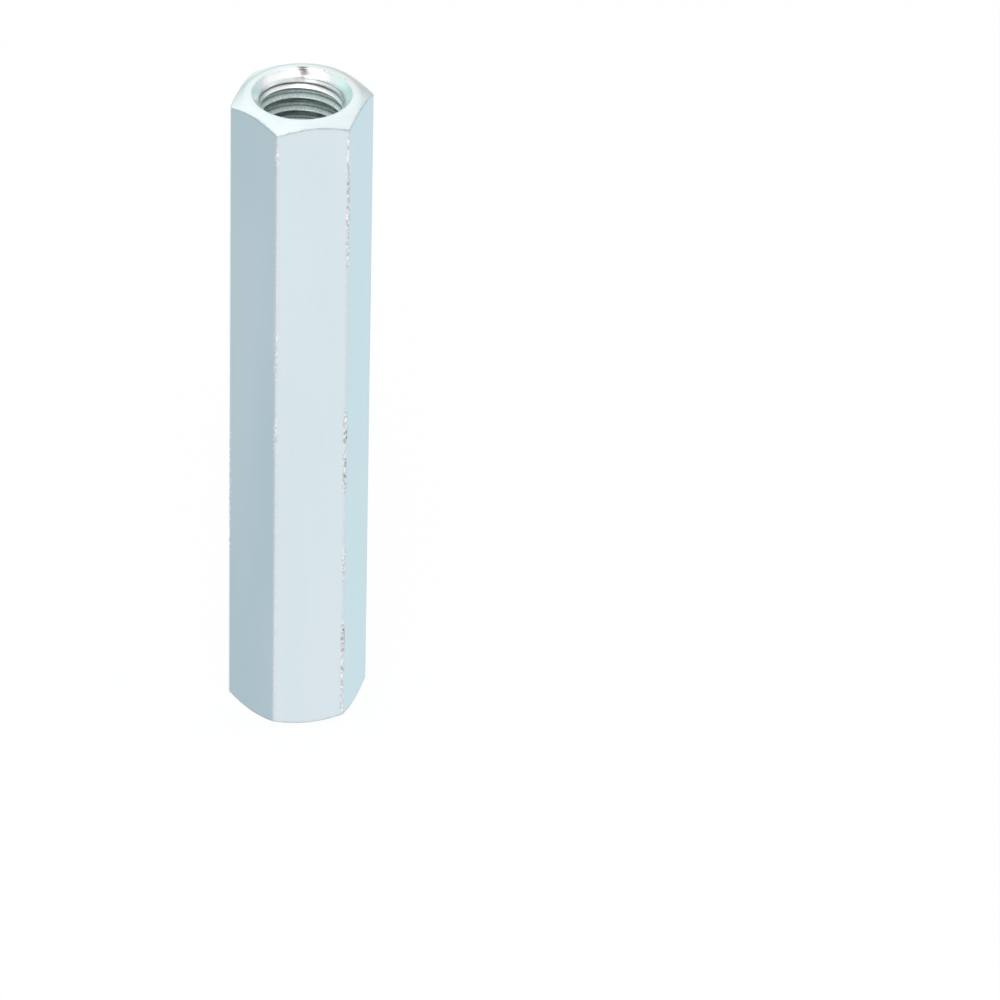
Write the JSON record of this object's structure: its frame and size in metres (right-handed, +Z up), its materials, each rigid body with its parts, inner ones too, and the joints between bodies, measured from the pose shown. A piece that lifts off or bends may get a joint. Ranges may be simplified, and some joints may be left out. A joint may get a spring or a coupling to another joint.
{
  "type": "coupling nut",
  "caption": "Long hexagonal coupling nut with a right-hand internal thread from end to end, countersunk and chamfered at both ends, joining two threaded rods.",
  "frame": {"origin": "centre of the lower end face, on the thread's axis", "axes": "+Z up along the thread's axis, +X through one edge of the hexagon, +Y out of one flat"},
  "size_m": [0.0148, 0.013, 0.075],
  "materials": {
    "zinc_plated_steel": "bright zinc plate with a pale blue passivate over drawn and turned steel, satin"
  },
  "bodies": {
    "root": {"nut_body": "zinc_plated_steel"}
  },
  "joints": []
}
